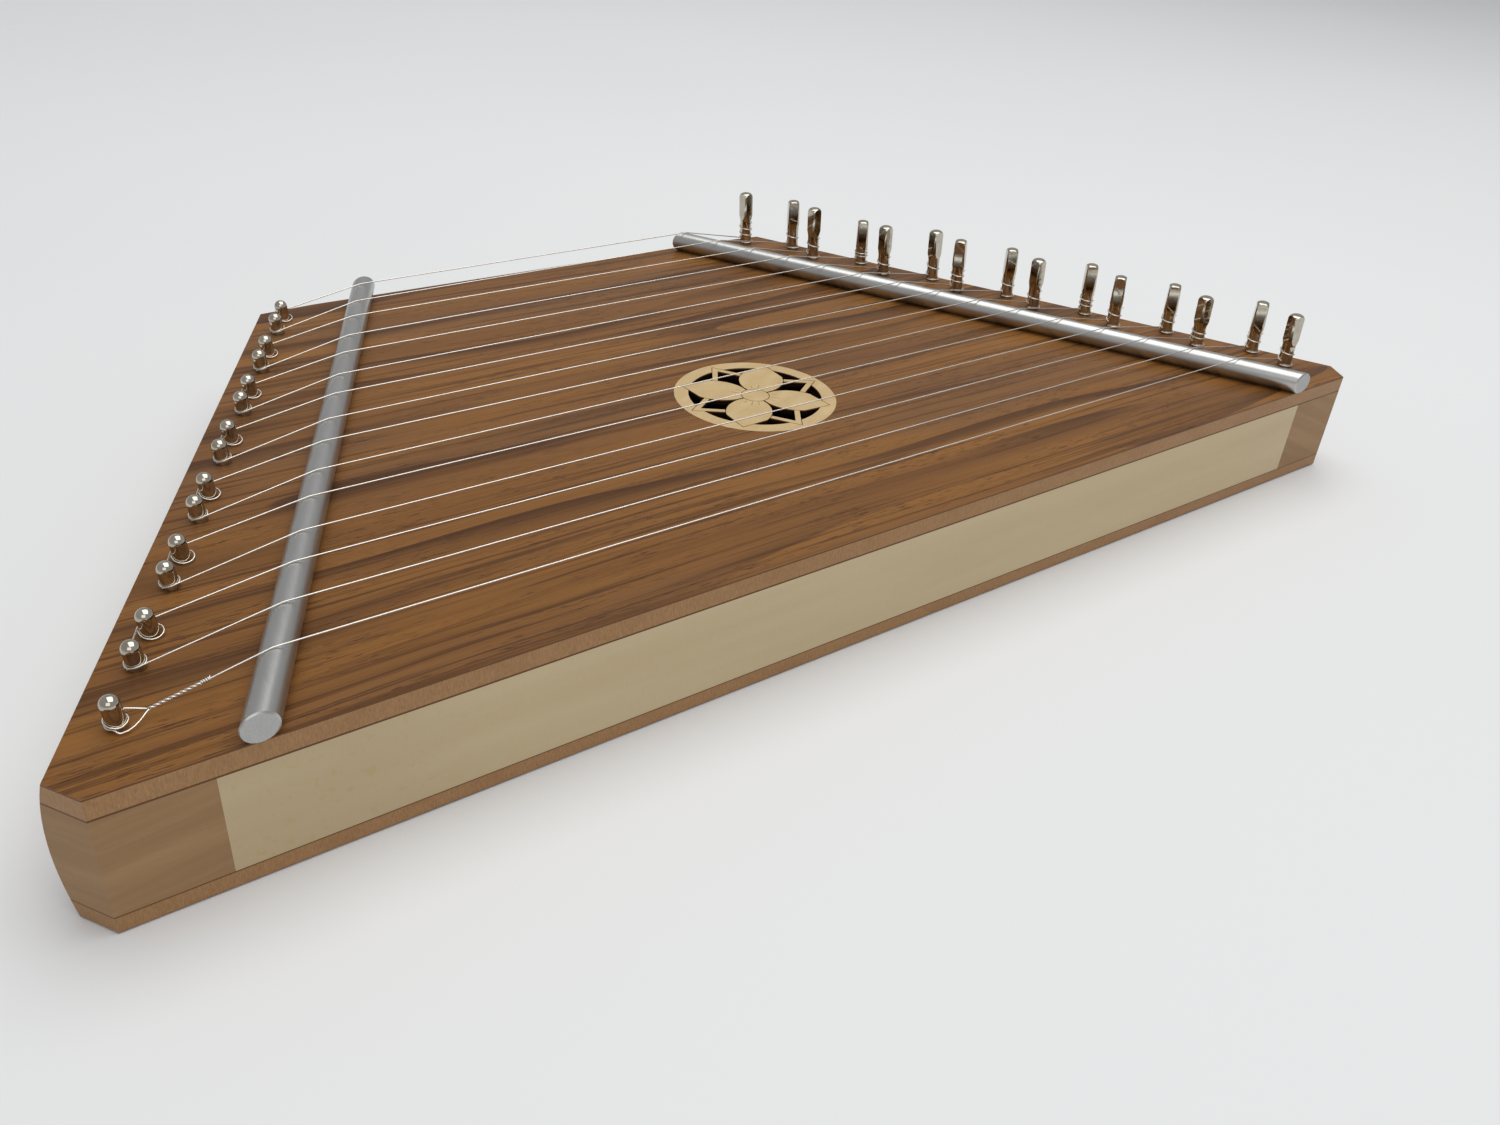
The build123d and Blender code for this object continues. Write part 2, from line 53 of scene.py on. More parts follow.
# ---- node helpers ---------------------------------------------------------------------------
class Finish:
    """One material's node tree. Lengths given to it are in millimetres of the model."""

    def __init__(self, name, roughness=0.5, metallic=0.0, specular=0.5):
        self.material = bpy.data.materials.new(name)
        self.material.use_nodes = True
        self.tree = self.material.node_tree
        self.shader = self.tree.nodes["Principled BSDF"]
        self.shader.inputs["Roughness"].default_value = roughness
        self.shader.inputs["Metallic"].default_value = metallic
        self.shader.inputs["Specular IOR Level"].default_value = specular
        self.place = self.node("ShaderNodeTexCoord").outputs["Object"]

    def node(self, kind, **settings):
        made = self.tree.nodes.new(kind)
        for key, value in settings.items():
            setattr(made, key, value)
        return made

    def put(self, value, socket):
        """Link a socket, or set a plain value."""
        if isinstance(value, bpy.types.NodeSocket):
            self.tree.links.new(value, socket)
        elif isinstance(value, tuple) and len(value) == 3 and socket.type == "RGBA":
            socket.default_value = (*value, 1)
        else:
            socket.default_value = value

    def grid(self, size, turn=0.0, shift=(0, 0, 0), source=None):
        """Coordinates in which a feature of that size in mm is one unit."""
        mapping = self.node("ShaderNodeMapping", vector_type="TEXTURE")
        self.put(source or self.place, mapping.inputs["Vector"])
        mapping.inputs["Location"].default_value = [value * MM for value in shift]
        mapping.inputs["Rotation"].default_value = (0, 0, radians(turn))
        mapping.inputs["Scale"].default_value = [value * MM for value in size]
        return mapping.outputs["Vector"]

    def noise(self, vector, detail=3.0, roughness=0.55, distortion=0.0):
        made = self.node("ShaderNodeTexNoise")
        self.put(vector, made.inputs["Vector"])
        made.inputs["Scale"].default_value = 1.0
        made.inputs["Detail"].default_value = detail
        made.inputs["Roughness"].default_value = roughness
        made.inputs["Distortion"].default_value = distortion
        return made.outputs["Fac"]

    def math(self, operation, a, b=0.0, clamp=False):
        made = self.node("ShaderNodeMath", operation=operation, use_clamp=clamp)
        self.put(a, made.inputs[0])
        self.put(b, made.inputs[1])
        return made.outputs[0]

    def span(self, value, low, high, to_low=0.0, to_high=1.0):
        """Map low..high to another range, held at its ends."""
        made = self.node("ShaderNodeMapRange", clamp=True, interpolation_type="SMOOTHSTEP")
        self.put(value, made.inputs["Value"])
        for key, number in zip(("From Min", "From Max", "To Min", "To Max"), (low, high, to_low, to_high)):
            made.inputs[key].default_value = number
        return made.outputs["Result"]

    def ramp(self, value, *stops):
        made = self.node("ShaderNodeValToRGB")
        self.put(value, made.inputs["Fac"])
        elements = made.color_ramp.elements
        while len(elements) < len(stops):
            elements.new(0.5)
        for element, (position, colour) in zip(elements, stops):
            element.position = position
            element.color = (*colour, 1)
        return made.outputs["Color"]

    def mix(self, share, a, b, blend="MIX"):
        made = self.node("ShaderNodeMix", data_type="RGBA", blend_type=blend)
        self.put(share, made.inputs[0])
        self.put(a, made.inputs[6])
        self.put(b, made.inputs[7])
        return made.outputs[2]

    def axis(self, source, letter):
        made = self.node("ShaderNodeSeparateXYZ")
        self.put(source, made.inputs[0])
        return made.outputs[letter]

    def normal(self):
        return self.node("ShaderNodeNewGeometry").outputs["Normal"]

    def bump(self, height, depth, strength=1.0):
        """Depth in mm."""
        made = self.node("ShaderNodeBump")
        made.inputs["Strength"].default_value = strength
        made.inputs["Distance"].default_value = depth * MM
        self.put(height, made.inputs["Height"])
        self.put(made.outputs["Normal"], self.shader.inputs["Normal"])

    def colour(self, value):
        self.put(value, self.shader.inputs["Base Color"])

    def rough(self, value):
        self.put(value, self.shader.inputs["Roughness"])


# ---- finishes -------------------------------------------------------------------------------
VENEER_UNDER = 37.5         # underside of the soundboard's face veneer
BACK_VENEER = 0.5           # thickness of the back panel's face veneer
TOP_GLUE = 32.45            # top of the glue line over the rails and pin blocks
BACK_GLUE = 4.6             # bottom of the glue line under them
SCORCHED = (0.012, 0.004, 0.002)
GLUE = (0.100, 0.045, 0.018)


def walnut_colour(f):
    """Walnut veneer whose grain runs along X: bands, ring edges, streaks, fibres and short pores."""
    bend = f.noise(f.grid((190, 70, 70)), 2.0)
    wander = f.node("ShaderNodeCombineXYZ")
    f.put(f.math("MULTIPLY", bend, 9 * MM), wander.inputs["Y"])
    warped = f.node("ShaderNodeVectorMath", operation="ADD")
    f.put(f.place, warped.inputs[0])
    f.put(wander.outputs[0], warped.inputs[1])
    warped = warped.outputs[0]
    bands = f.noise(f.grid((330, 22, 40), source=warped), 2.0)
    base = f.ramp(
        bands,
        (0.32, (0.186, 0.077, 0.020)),
        (0.5, (0.230, 0.099, 0.026)),
        (0.68, (0.274, 0.118, 0.027)),
    )
    greyer = f.noise(f.grid((210, 34, 40), shift=(400, 0, 0), source=warped), 2.0)
    base = f.mix(f.span(greyer, 0.48, 0.68, 0, 0.55), base, (0.158, 0.078, 0.036))
    swell = f.noise(f.grid((520, 60, 60), shift=(0, 500, 0), source=warped), 2.0)
    across = f.math("DIVIDE", f.axis(warped, "Y"), 26 * MM)
    rings = f.math("FRACT", f.math("ADD", f.math("MULTIPLY", swell, 7.0), across))
    ring_edge = f.math("MULTIPLY", f.span(rings, 0.35, 0.97), f.span(rings, 1.0, 0.98))
    where = f.noise(f.grid((240, 20, 40), shift=(0, 0, 300), source=warped), 2.0)
    ring_edge = f.math("MULTIPLY", ring_edge, f.span(where, 0.40, 0.62, 0, 0.82))
    base = f.mix(ring_edge, base, (0.055, 0.021, 0.008))
    streaks = f.noise(f.grid((150, 1.7, 30), source=warped), 3.0, 0.6)
    base = f.mix(f.span(streaks, 0.53, 0.64, 0, 0.7), base, (0.070, 0.028, 0.010))
    base = f.mix(f.span(streaks, 0.48, 0.28, 0, 0.3), base, (0.270, 0.128, 0.040))
    fibres = f.noise(f.grid((13, 0.32, 8), source=warped), 3.0, 0.6)
    base = f.mix(f.span(fibres, 0.4, 0.75, 0.0, 0.26), base, (0.080, 0.034, 0.014))
    pores = f.noise(f.grid((4.6, 0.32, 4), source=warped), 2.0, 0.5)
    grouped = f.noise(f.grid((60, 9, 20), source=warped), 2.0)
    pores = f.math("MULTIPLY", f.span(pores, 0.58, 0.65), f.span(grouped, 0.42, 0.58))
    return f.mix(f.math("MULTIPLY", pores, 0.75), base, (0.045, 0.017, 0.006)), pores, fibres


def ply_colour(f):
    """Edge of the board: close upright end fibres with faint darker patches."""
    upright = f.noise(f.grid((0.35, 0.35, 1.4)), 3.0, 0.65)
    flecks = f.noise(f.grid((0.3, 0.3, 0.5)), 2.0)
    patches = f.noise(f.grid((16, 16, 9)), 2.0)
    ply = f.ramp(
        upright,
        (0.3, (0.285, 0.155, 0.071)),
        (0.5, (0.342, 0.191, 0.088)),
        (0.72, (0.399, 0.229, 0.110)),
    )
    ply = f.mix(f.span(flecks, 0.55, 0.8, 0, 0.35), ply, (0.217, 0.113, 0.049))
    return f.mix(f.span(patches, 0.45, 0.7, 0, 0.28), ply, (0.274, 0.142, 0.059)), upright


def panel_finish(name, edge_colours, inner_side, inner_painted_shade, roughness):
    """A veneered panel: walnut faces, pale edges with glue lines, and one side inside the box, coloured
    dark as painted shade.

    edge_colours is a list of (from height, to height, share, colour) laid over the pale edge.
    inner_side is -1 for a panel whose underside is inside the box, and 1 for its upper side. The inner
    colour is painted shade for that side.
    """
    f = Finish(name, specular=0.13)
    walnut, pores, fibres = walnut_colour(f)
    ply, upright = ply_colour(f)
    height = f.axis(f.place, "Z")
    for low, high, share, colour in edge_colours:
        ply = f.mix(f.span(height, low * MM, high * MM, 0, share), ply, colour)
    facing = f.axis(f.normal(), "Z")
    # painted shade: the side inside the box takes the dark inner colour in place of walnut
    face = f.mix(f.span(facing, 0.4 * inner_side, 0.6 * inner_side), walnut, inner_painted_shade)
    f.colour(f.mix(f.span(f.math("ABSOLUTE", facing), 0.5, 0.6), ply, face))
    f.rough(f.span(fibres, 0.3, 0.8, roughness, roughness + 0.13))
    f.bump(f.math("SUBTRACT", fibres, f.math("MULTIPLY", pores, 2.0)), 0.012, 0.5)
    return f, ply, face, facing


def soundboard_finish(rosette):
    edge = [
        (TOP_GLUE + 0.15, TOP_GLUE, 0.9, GLUE),
        (VENEER_UNDER, VENEER_UNDER + 0.1, 0.85, (0.105, 0.043, 0.017)),
    ]
    # painted shade: (0.10, 0.055, 0.028) darkens the underside, which is inside the box
    f, ply, face, facing = panel_finish("walnut_soundboard", edge, -1, (0.10, 0.055, 0.028), 0.3)
    scorched = under_rosette(f, rosette, 36.2)
    wall = f.mix(f.span(f.math("ABSOLUTE", facing), 0.5, 0.6), ply, face)
    f.colour(f.mix(scorched, wall, SCORCHED))
    return f.material


def back_panel_finish():
    edge = [
        (BACK_GLUE, BACK_GLUE + 0.15, 0.9, GLUE),
        (BACK_VENEER + 0.15, BACK_VENEER, 0.8, (0.105, 0.043, 0.017)),
    ]
    # painted shade: the near-black colour darkens the upper side, which is inside the box under the sound
    # hole
    return panel_finish("walnut_back", edge, 1, (0.030, 0.012, 0.007), 0.34)[0].material


def under_rosette(f, centre, height):
    """1 on the wall of the sound hole, which is scorched by the cut, and 0 elsewhere."""
    away = f.node("ShaderNodeVectorMath", operation="DISTANCE")
    flat = f.node("ShaderNodeVectorMath", operation="MULTIPLY")
    f.put(f.place, flat.inputs[0])
    flat.inputs[1].default_value = (1, 1, 0)
    f.put(flat.outputs[0], away.inputs[0])
    away.inputs[1].default_value = (centre.x, centre.y, 0)
    near = f.span(away.outputs["Value"], 24.2 * MM, 23.6 * MM)
    return f.math("MULTIPLY", near, f.span(f.axis(f.place, "Z"), height * MM, (height - 0.1) * MM))


def block_finish(name, turn):
    """Pin block: close-grained hardwood, cut across, with faint slanting growth bands."""
    f = Finish(name, roughness=0.5, specular=0.15)
    tilt = f.node("ShaderNodeMapping", vector_type="TEXTURE")
    f.put(f.place, tilt.inputs["Vector"])
    tilt.inputs["Rotation"].default_value = (0, radians(turn), 0)
    tilt.inputs["Scale"].default_value = (70 * MM, 70 * MM, 3.2 * MM)
    bands = f.noise(tilt.outputs[0], 2.0, 0.5, 0.3)
    fine = f.noise(f.grid((5, 5, 0.55)), 4.0, 0.6)
    flecks = f.noise(f.grid((0.8, 0.8, 6)), 3.0)
    base = f.ramp(
        bands,
        (0.3, (0.285, 0.168, 0.081)),
        (0.52, (0.318, 0.192, 0.095)),
        (0.7, (0.353, 0.216, 0.110)),
    )
    base = f.mix(f.span(fine, 0.4, 0.75, 0, 0.16), base, (0.218, 0.122, 0.056))
    base = f.mix(f.span(flecks, 0.6, 0.8, 0, 0.2), base, (0.418, 0.270, 0.150))
    f.colour(base)
    f.bump(fine, 0.01, 0.35)
    return f.material


def maple_finish():
    f = Finish("maple_rail", roughness=0.45, specular=0.25)
    grain = f.noise(f.grid((120, 30, 9)), 3.0, 0.55)
    fibres = f.noise(f.grid((9, 9, 0.4)), 3.0, 0.6)
    flecks = f.noise(f.grid((0.7, 0.7, 3.5)), 3.0, 0.6)
    spots = f.noise(f.grid((3, 3, 3)), 1.0)
    base = f.ramp(
        grain,
        (0.3, (0.516, 0.403, 0.241)),
        (0.5, (0.539, 0.427, 0.260)),
        (0.7, (0.563, 0.450, 0.281)),
    )
    base = f.mix(f.span(fibres, 0.45, 0.8, 0, 0.2), base, (0.456, 0.345, 0.199))
    base = f.mix(f.span(flecks, 0.5, 0.8, 0, 0.18), base, (0.428, 0.327, 0.186))
    at_left = f.span(f.axis(f.place, "X"), -120 * MM, -175 * MM)
    spots = f.math("MULTIPLY", f.span(spots, 0.60, 0.72, 0, 0.28), at_left)
    base = f.mix(f.math("MULTIPLY", at_left, 0.3), base, (0.372, 0.270, 0.148))
    f.colour(f.mix(spots, base, (0.437, 0.310, 0.093)))
    f.bump(fibres, 0.008, 0.3)
    return f.material


def spruce_finish():
    """Bars inside the box: spruce grain coloured near-black as painted shade, like the rest of its inside.
    """
    f = Finish("spruce_painted_shade", roughness=0.7, specular=0.2)
    grain = f.noise(f.grid((120, 1.2, 1.2)), 3.0)
    # painted shade: dark ramp for bars that sit unlit inside the box
    f.colour(f.ramp(grain, (0.35, (0.035, 0.016, 0.009)), (0.7, (0.060, 0.030, 0.016))))
    f.bump(grain, 0.02, 0.4)
    return f.material


def birch_finish(centre):
    """Laser-cut birch: pale faces, scorched cut walls, engraved lines and three veins to a petal."""
    f = Finish("birch_rosette", roughness=0.55, specular=0.14)
    figure = f.noise(f.grid((9, 3.5, 9), turn=20), 3.0)
    fibres = f.noise(f.grid((5, 0.4, 5), turn=20), 3.0, 0.6)
    base = f.ramp(
        figure,
        (0.3, (0.525, 0.375, 0.187)),
        (0.55, (0.572, 0.417, 0.217)),
        (0.75, (0.610, 0.455, 0.247)),
    )
    base = f.mix(f.span(fibres, 0.5, 0.8, 0, 0.22), base, (0.47, 0.325, 0.155))
    east = f.math("ABSOLUTE", f.math("SUBTRACT", f.axis(f.place, "X"), centre.x))
    north = f.math("ABSOLUTE", f.math("SUBTRACT", f.axis(f.place, "Y"), centre.y))
    diagonal = sin(pi / 4)
    along = f.math("MULTIPLY", f.math("ADD", east, north), diagonal)
    aside = f.math("ABSOLUTE", f.math("MULTIPLY", f.math("SUBTRACT", east, north), diagonal))
    side_vein = f.math("ABSOLUTE", f.math("SUBTRACT", aside, f.math("MULTIPLY", along, 0.36)))
    side_vein = f.math("ADD", side_vein, f.span(along, 7.2 * MM, 7.8 * MM, 0, 1))
    middle_vein = f.math("ADD", aside, f.span(along, 8.6 * MM, 9.4 * MM, 0, 1))
    veins = f.span(f.math("MINIMUM", side_vein, middle_vein), 0.2 * MM, 0.1 * MM)
    veins = f.math("MULTIPLY", veins, f.span(along, 5.2 * MM, 5.6 * MM, 0, 0.75))
    base = f.mix(veins, base, (0.27, 0.135, 0.045))
    height = f.axis(f.place, "Z")
    facing = f.axis(f.normal(), "Z")
    engraved = f.span(height, centre.z - 0.05 * MM, centre.z - 0.15 * MM)
    base = f.mix(f.math("MULTIPLY", engraved, 0.94), base, (0.140, 0.052, 0.013))
    below = f.span(height, centre.z - 0.3 * MM, centre.z - 0.6 * MM)
    f.colour(f.mix(f.math("MULTIPLY", below, f.span(facing, 0.6, 0.4)), base, SCORCHED))
    f.bump(fibres, 0.01, 0.3)
    return f.material


def aluminium_finish(name):
    f = Finish(name, roughness=0.34, metallic=1.0)
    drawn = f.noise(f.grid((0.3, 60, 0.3)), 2.0, 0.6)
    patches = f.noise(f.grid((14, 60, 14)), 2.0)
    grain = f.noise(f.grid((0.22, 0.22, 0.22)), 2.0)
    f.colour(f.ramp(patches, (0.3, (0.49, 0.49, 0.475)), (0.7, (0.53, 0.53, 0.515))))
    ends = f.span(f.math("ABSOLUTE", f.axis(f.normal(), "Y")), 0.9, 0.97)
    f.rough(f.mix(ends, f.span(drawn, 0.3, 0.75, 0.31, 0.37), f.span(grain, 0.3, 0.7, 0.5, 0.75)))
    f.bump(f.math("ADD", drawn, f.math("MULTIPLY", f.math("MULTIPLY", grain, ends), 6.0)), 0.004, 0.4)
    return f.material


def nickel_finish():
    f = Finish("nickel_plate", roughness=0.06, metallic=1.0)
    haze = f.noise(f.grid((3, 3, 3)), 4.0, 0.6)
    drag = f.noise(f.grid((0.3, 0.3, 5)), 3.0, 0.6)
    # painted reflection: base colour darker and browner than bare nickel, standing in for the brown
    # soundboard and dim room seen in the pins
    f.colour(f.ramp(haze, (0.35, (0.46, 0.42, 0.345)), (0.65, (0.56, 0.52, 0.44))))
    f.rough(f.span(drag, 0.3, 0.8, 0.04, 0.12))
    f.bump(drag, 0.0015, 0.2)
    return f.material


def steel_finish():
    """Bright music wire, with long faint changes of tone along it."""
    f = Finish("string_wire", roughness=0.35, metallic=1.0)
    tone = f.noise(f.grid((35, 35, 35)), 2.0)
    f.colour(f.ramp(tone, (0.3, (0.77, 0.73, 0.67)), (0.7, (0.83, 0.79, 0.73))))
    f.rough(f.span(tone, 0.3, 0.7, 0.30, 0.40))
    return f.material


def dress(names, material):
    for name in names:
        nodes[name].data.materials.clear()
        nodes[name].data.materials.append(material)


rosette_low, rosette_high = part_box("rosette")
rosette_centre = (rosette_low + rosette_high) / 2
rosette_centre.z = rosette_high.z
pins = [name for name in nodes if name.startswith("tuning_pin_") and name[-1].isdigit()]
coils = [name for name in nodes if name.startswith("string_coil_")]
strings = [name for name in nodes if name.startswith("string_") and name not in coils]
nickel = nickel_finish()
steel = steel_finish()
maple = maple_finish()
dress(["soundboard"], soundboard_finish(rosette_centre))
dress(["back_panel"], back_panel_finish())
dress(["hitch_pin_block"], block_finish("hitch_block_wood", -7))
dress(["tuning_pin_block"], block_finish("tuning_block_wood", 24))
dress(["front_rail", "back_rail"], maple)
dress(["soundboard_brace_1", "soundboard_brace_2", "back_brace"], spruce_finish())
dress(["rosette"], birch_finish(rosette_centre))
dress(["bridge_rod_left", "bridge_rod_right"], aluminium_finish("satin_aluminium"))
dress(pins + ["hitch_pins"], nickel)
dress(strings + coils, steel)


# ---- wires ----------------------------------------------------------------------------------
# The CAD holds the strings' runs and plain turns for each winding. These are the true windings.
WIRE_RADIUS = 0.2
BOARD_TOP = 38.0
HITCH_LEAN = 5.0            # degrees, away from the strings
HITCH_FIRST = (-211.7, -98.2)
HITCH_ROW = (-213.1, -98.4)     # a point on the line of the paired pins
HITCH_SLOPE = 0.5132        # sideways travel of the row of pins for each unit of depth
HITCH_PAIR_Y = -73.7
HITCH_PAIR_PITCH = 29.15
HITCH_PAIR_SPAN = 11.2
TUNING_LEAN = 4.0           # degrees, towards the strings
HEAD_TURNS = (73, 37, 77, 39, 35, 49, 5, 54, 33, 89, 8, 53, 5, 63, 8)    # degrees, front to back
COIL_RADIUS = 2.73
COIL_LOW = 2.6              # lowest turn on a tuning pin, above the soundboard
WIRE_HOLE_ABOVE = 8.0       # on a pin with no rise of its own
PIN_TOP_ABOVE = 21.0


class PinFrame:
    """Places round a pin: an angle from +X towards +Y, a radius and a height along the pin, in mm."""

    def __init__(self, foot, lean):
        self.foot = Vector(foot)
        self.axis = Vector((-sin(radians(lean)), 0, cos(radians(lean))))
        self.sideways = Vector((self.axis.z, 0, -self.axis.x))

    def at(self, angle, radius, height):
        out = self.sideways * cos(radians(angle)) + Vector((0, 1, 0)) * sin(radians(angle))
        return self.foot + self.axis * height + out * radius


def wire(name, points, body, *replaced):
    """A smooth wire through points in mm, riding on a body."""
    data = bpy.data.curves.new(name, "CURVE")
    data.dimensions = "3D"
    data.resolution_u = 6
    data.bevel_depth = WIRE_RADIUS * MM
    data.bevel_resolution = 3
    data.use_fill_caps = True
    spline = data.splines.new("BEZIER")
    spline.bezier_points.add(len(points) - 1)
    for knot, point in zip(spline.bezier_points, points):
        knot.co = Vector(point) * MM
        knot.handle_left_type = knot.handle_right_type = "AUTO"
    data.materials.append(steel)
    made = bpy.data.objects.new(name, data)
    bpy.context.scene.collection.objects.link(made)
    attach(made, body)
    if replaced:
        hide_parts(*replaced)


def tuning_coil(number, joint):
    """Turns of string on a tuning pin, wound up from the soundboard and ending through the pin."""
    name = f"tuning_pin_{number:02d}"
    pin = PinFrame(Vector(joint["pos_m"]) / MM, TUNING_LEAN)
    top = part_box(name)[1].z / MM - BOARD_TOP
    rise = top / pin.axis.z - PIN_TOP_ABOVE
    hole = WIRE_HOLE_ABOVE + rise
    hole_angle = HEAD_TURNS[number - 1] - 90
    sweep = 180 - hole_angle + (360 if number % 3 else 720)
    steps = round(sweep / 30)
    points = []
    for step in range(steps):
        share = step / steps
        height = COIL_LOW + (hole - 0.15 - COIL_LOW) * share ** (0.8 + 0.12 * (number % 4))
        points.append(pin.at(180 - sweep * share, COIL_RADIUS, height))
    points.append(pin.at(hole_angle + 6, COIL_RADIUS + 0.1, hole - 0.05))
    points.append(pin.at(hole_angle, 2.35, hole))
    points.append(pin.at(hole_angle, -2.85, hole))
    wire(f"wound_wire_{number:02d}", points, name, f"string_coil_{number:02d}")


for number, joint in enumerate(sorted(frame["joints"], key=lambda joint: joint["name"]), start=1):
    tuning_coil(number, joint)

# Each pair's wire takes one more turn round each pin: a close one in front, a loose one behind.
FRONT_TURN = (
    (205, 2.38, 1.15), (250, 2.38, 1.6), (300, 2.38, 1.64), (345, 2.38, 1.85), (30, 2.38, 2.05),
    (75, 2.38, 2.1), (120, 2.38, 2.1), (165, 2.38, 2.0), (205, 2.4, 1.75),
)
BACK_TURN = (
    (172, 2.38, 2.2), (205, 2.4, 1.35), (240, 2.5, 0.8), (275, 2.7, 0.5), (315, 2.9, 0.55),
    (355, 2.95, 0.9), (35, 2.75, 1.25), (80, 2.5, 1.45), (125, 2.4, 1.6), (165, 2.38, 1.5),
)


def hitch_frame(y):
    x = HITCH_ROW[0] + HITCH_SLOPE * (y - HITCH_ROW[1])
    return PinFrame((x, y, BOARD_TOP), HITCH_LEAN)


for pair in range(len(pins) // 2):
    middle = HITCH_PAIR_Y + pair * HITCH_PAIR_PITCH
    for offset, turn, place in ((-0.5, FRONT_TURN, "front"), (0.5, BACK_TURN, "back")):
        pin = hitch_frame(middle + offset * HITCH_PAIR_SPAN)
        wire(f"hitch_turn_{pair + 1}_{place}", [pin.at(*spot) for spot in turn], "soundbox")


# ---- the first string's loop ----------------------------------------------------------------
LOOP_FORK = 6.5             # pin to where the two strands meet
TWIST_END = 17.8            # pin to the end of the open twist
LOCK_END = 20.0             # pin to the end of the close turns
TWIST_TURNS = 5
LOCK_TURNS = 4.5
STRAND_RADIUS = WIRE_RADIUS + 0.06
LOCK_RADIUS = 2 * WIRE_RADIUS
STEPS_PER_TURN = 12
TIGHT_TURN = 2.38           # radius of a wire that lies close round a hitch pin
# Height above the soundboard at each quarter turn round the pin, from its back, anticlockwise.
LOOP_HEIGHTS = (2.9, 2.4, 1.4, 1.6, 1.9, 1.2)
LOOP_LEAVES = (630, 3.3, 0.6)   # angle, radius and height where the wire leaves the pin for the fork
SIGHT_LENGTH = 4.0          # from the fork to the cut that gives the direction of the run
STUB = 0.5                  # how far the cut end stands out of the close turns
RUN_GAP = 1.0               # close turns to the start of the plain run


def cut_first_string(x, keep_right=False):
    """The CAD's first string cut across at x in mm, and the middle of the cut."""
    mesh = bmesh.new()
    mesh.from_mesh(nodes["string_01"].data)
    everything = mesh.verts[:] + mesh.edges[:] + mesh.faces[:]
    cut = bmesh.ops.bisect_plane(
        mesh, geom=everything, plane_co=(x * MM, 0, 0), plane_no=(1, 0, 0), clear_inner=keep_right)
    rim = [item for item in cut["geom_cut"] if isinstance(item, bmesh.types.BMVert)]
    middle = sum((vertex.co for vertex in rim), Vector()) / len(rim)
    return mesh, middle / MM


def first_string_run(x):
    """The plain run of the first string, to the right of x."""
    mesh = cut_first_string(x, keep_right=True)[0]
    data = bpy.data.meshes.new("string_01_run")
    mesh.to_mesh(data)
    data.materials.clear()
    data.materials.append(steel)
    made = bpy.data.objects.new("string_01_run", data)
    bpy.context.scene.collection.objects.link(made)
    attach(made, "soundbox")
    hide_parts("string_01")


def first_string_loop(start_x):
    """From the run: straight, twisted with its own end, round the pin, back and locked."""
    pin = PinFrame((*HITCH_FIRST, BOARD_TOP), HITCH_LEAN)
    near = cut_first_string(HITCH_FIRST[0] + LOOP_FORK + SIGHT_LENGTH)[1]
    far = cut_first_string(start_x)[1]
    along = (far - near).normalized()
    aside = Vector((0, 0, 1)).cross(along).normalized()
    above = along.cross(aside)
    origin = near - along * ((near.x - HITCH_FIRST[0]) / along.x)

    def strand(distance, radius, turns):
        angle = 2 * pi * turns
        return origin + along * distance + (aside * cos(angle) + above * sin(angle)) * radius

    steps = TWIST_TURNS * STEPS_PER_TURN
    length = TWIST_END - LOOP_FORK
    twist = [(LOOP_FORK + length * k / steps, TWIST_TURNS * k / steps) for k in range(steps + 1)]
    points = [far, strand(LOCK_END, 0, 0)]
    points += [strand(distance, STRAND_RADIUS, turns) for distance, turns in reversed(twist)]
    for quarter, height in enumerate(LOOP_HEIGHTS):
        later = LOOP_HEIGHTS[min(quarter + 1, len(LOOP_HEIGHTS) - 1)]
        for third in range(3):
            rising = height + (later - height) * third / 3
            points.append(pin.at(90 + 90 * quarter + 30 * third, TIGHT_TURN, rising))
    points.append(pin.at(*LOOP_LEAVES))
    points += [strand(distance, STRAND_RADIUS, turns + 0.5) for distance, turns in twist]
    steps = round(LOCK_TURNS * STEPS_PER_TURN)
    for k in range(1, steps + 1):
        distance = TWIST_END + (LOCK_END - TWIST_END) * k / steps
        points.append(strand(distance, LOCK_RADIUS, 0.5 + LOCK_TURNS * k / steps))
    points.append(strand(LOCK_END + WIRE_RADIUS, LOCK_RADIUS + STUB, 0.5 + LOCK_TURNS))
    wire("string_01_loop", points, "soundbox", "string_01")


RUN_START = HITCH_FIRST[0] + LOCK_END + RUN_GAP
first_string_run(RUN_START)
first_string_loop(RUN_START)


# ---- camera ---------------------------------------------------------------------------------
CAMERA_AT = Vector((-0.233736, -0.333116, 0.215048))
CAMERA_AZIMUTH = radians(-38.65468)
CAMERA_ELEVATION = radians(32.01431)
CAMERA_ROLL = radians(4.79447)
FOCAL_SHARE = 1241.14 / 1500        # focal length over the frame's width
SENSOR = 36.0

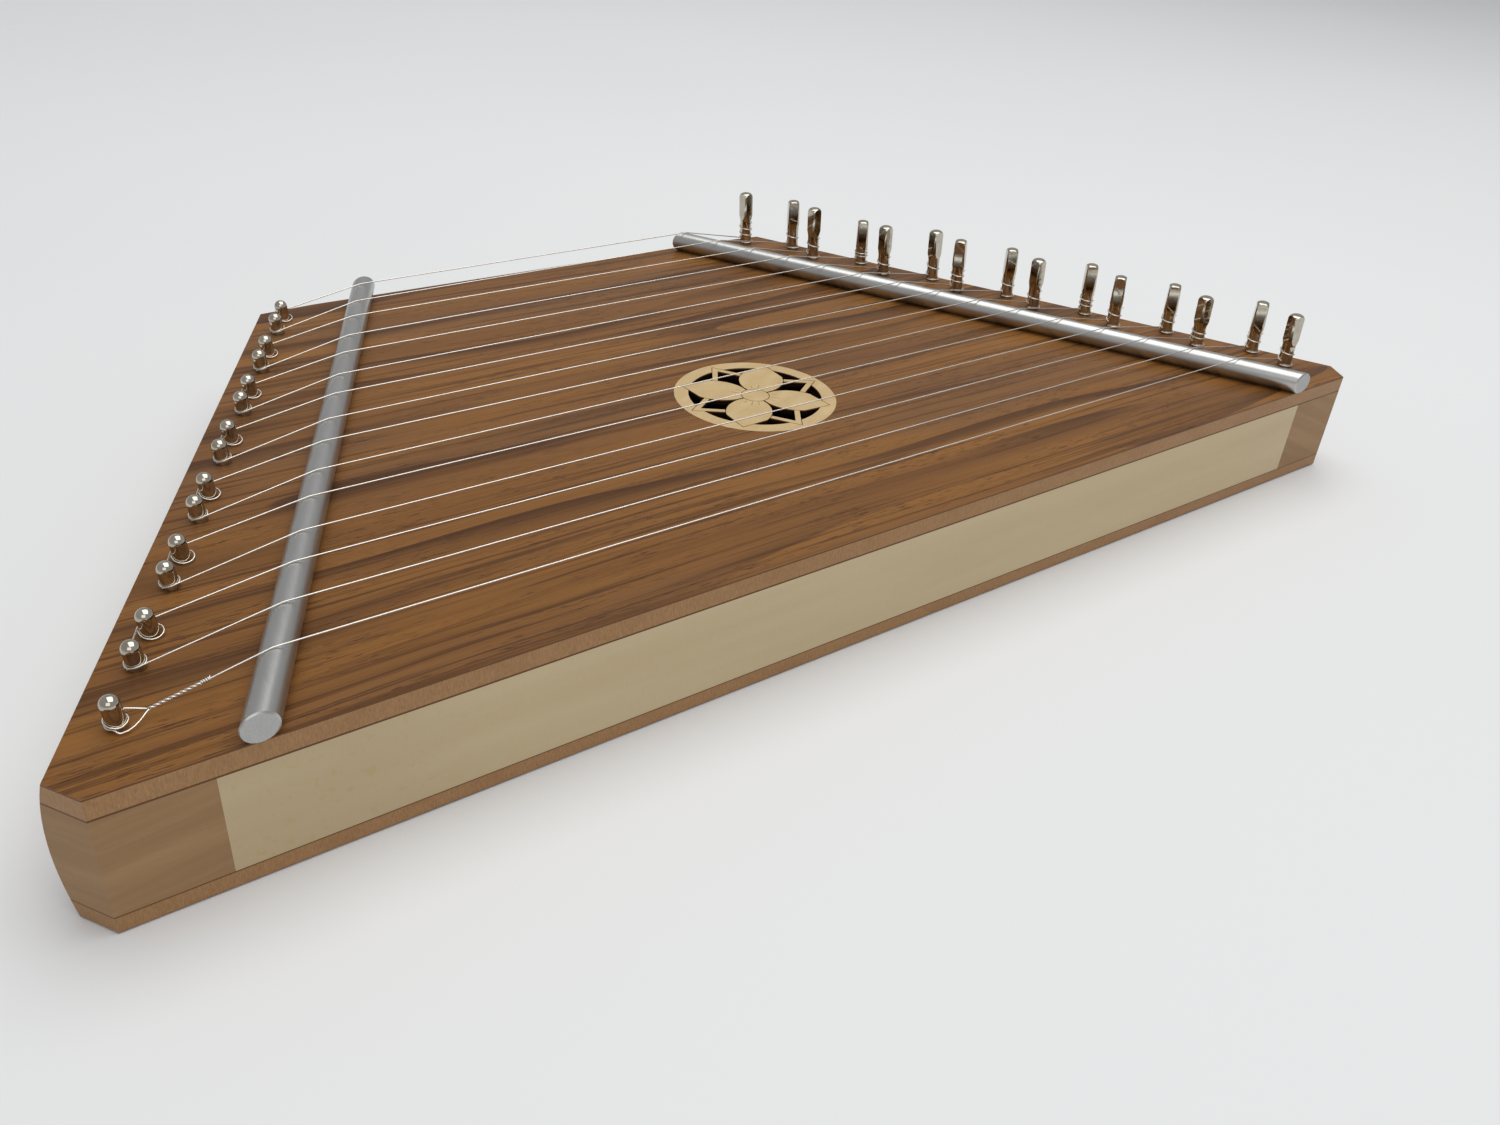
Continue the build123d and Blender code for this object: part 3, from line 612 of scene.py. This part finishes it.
back = Vector((
    sin(CAMERA_AZIMUTH) * cos(CAMERA_ELEVATION),
    -cos(CAMERA_AZIMUTH) * cos(CAMERA_ELEVATION),
    sin(CAMERA_ELEVATION),
))
level_right = Vector((0, 0, 1)).cross(back).normalized()
level_up = back.cross(level_right)
right = level_right * cos(CAMERA_ROLL) + level_up * sin(CAMERA_ROLL)
up = level_up * cos(CAMERA_ROLL) - level_right * sin(CAMERA_ROLL)
lens = bpy.data.cameras.new("camera")
lens.sensor_width = SENSOR
lens.lens = SENSOR * FOCAL_SHARE
lens.clip_start = 0.01
camera = bpy.data.objects.new("camera", lens)
camera.matrix_world = Matrix.Translation(CAMERA_AT) @ Matrix((right, up, back)).transposed().to_4x4()
bpy.context.scene.collection.objects.link(camera)
bpy.context.scene.camera = camera

# ---- floor and light ------------------------------------------------------------------------
paper = Finish("paper_floor", roughness=0.75, specular=0.2)
tone = paper.noise(paper.grid((900, 900, 900)), 2.0)
paper.colour(paper.ramp(tone, (0.3, (0.76, 0.765, 0.765)), (0.7, (0.79, 0.79, 0.79))))
bpy.ops.mesh.primitive_grid_add(x_subdivisions=8, y_subdivisions=8, size=24, location=(0, 2, 0))
floor = bpy.context.object
floor.name = "floor"
floor.data.materials.append(paper.material)


def area_light(name, at, look_at, size, power):
    data = bpy.data.lights.new(name, "AREA")
    data.shape = "RECTANGLE"
    data.size, data.size_y = size
    data.energy = power
    made = bpy.data.objects.new(name, data)
    made.location = at
    made.rotation_euler = (Vector(look_at) - Vector(at)).to_track_quat("-Z", "Y").to_euler()
    bpy.context.scene.collection.objects.link(made)


area_light("overhead", (0.35, 0.0, 1.9), (0, 0, 0), (2.4, 1.8), 28.5)
area_light("front_fill", (-0.9, -1.6, 1.3), (0, 0, 0), (1.6, 1.2), 7)
world = bpy.data.worlds.new("studio")
world.use_nodes = True
sky = world.node_tree.nodes["Background"]
sky.inputs["Color"].default_value = (0.97, 0.985, 1.0, 1)
sky.inputs["Strength"].default_value = 0.42
bpy.context.scene.world = world
bpy.context.scene.view_settings.view_transform = "Standard"
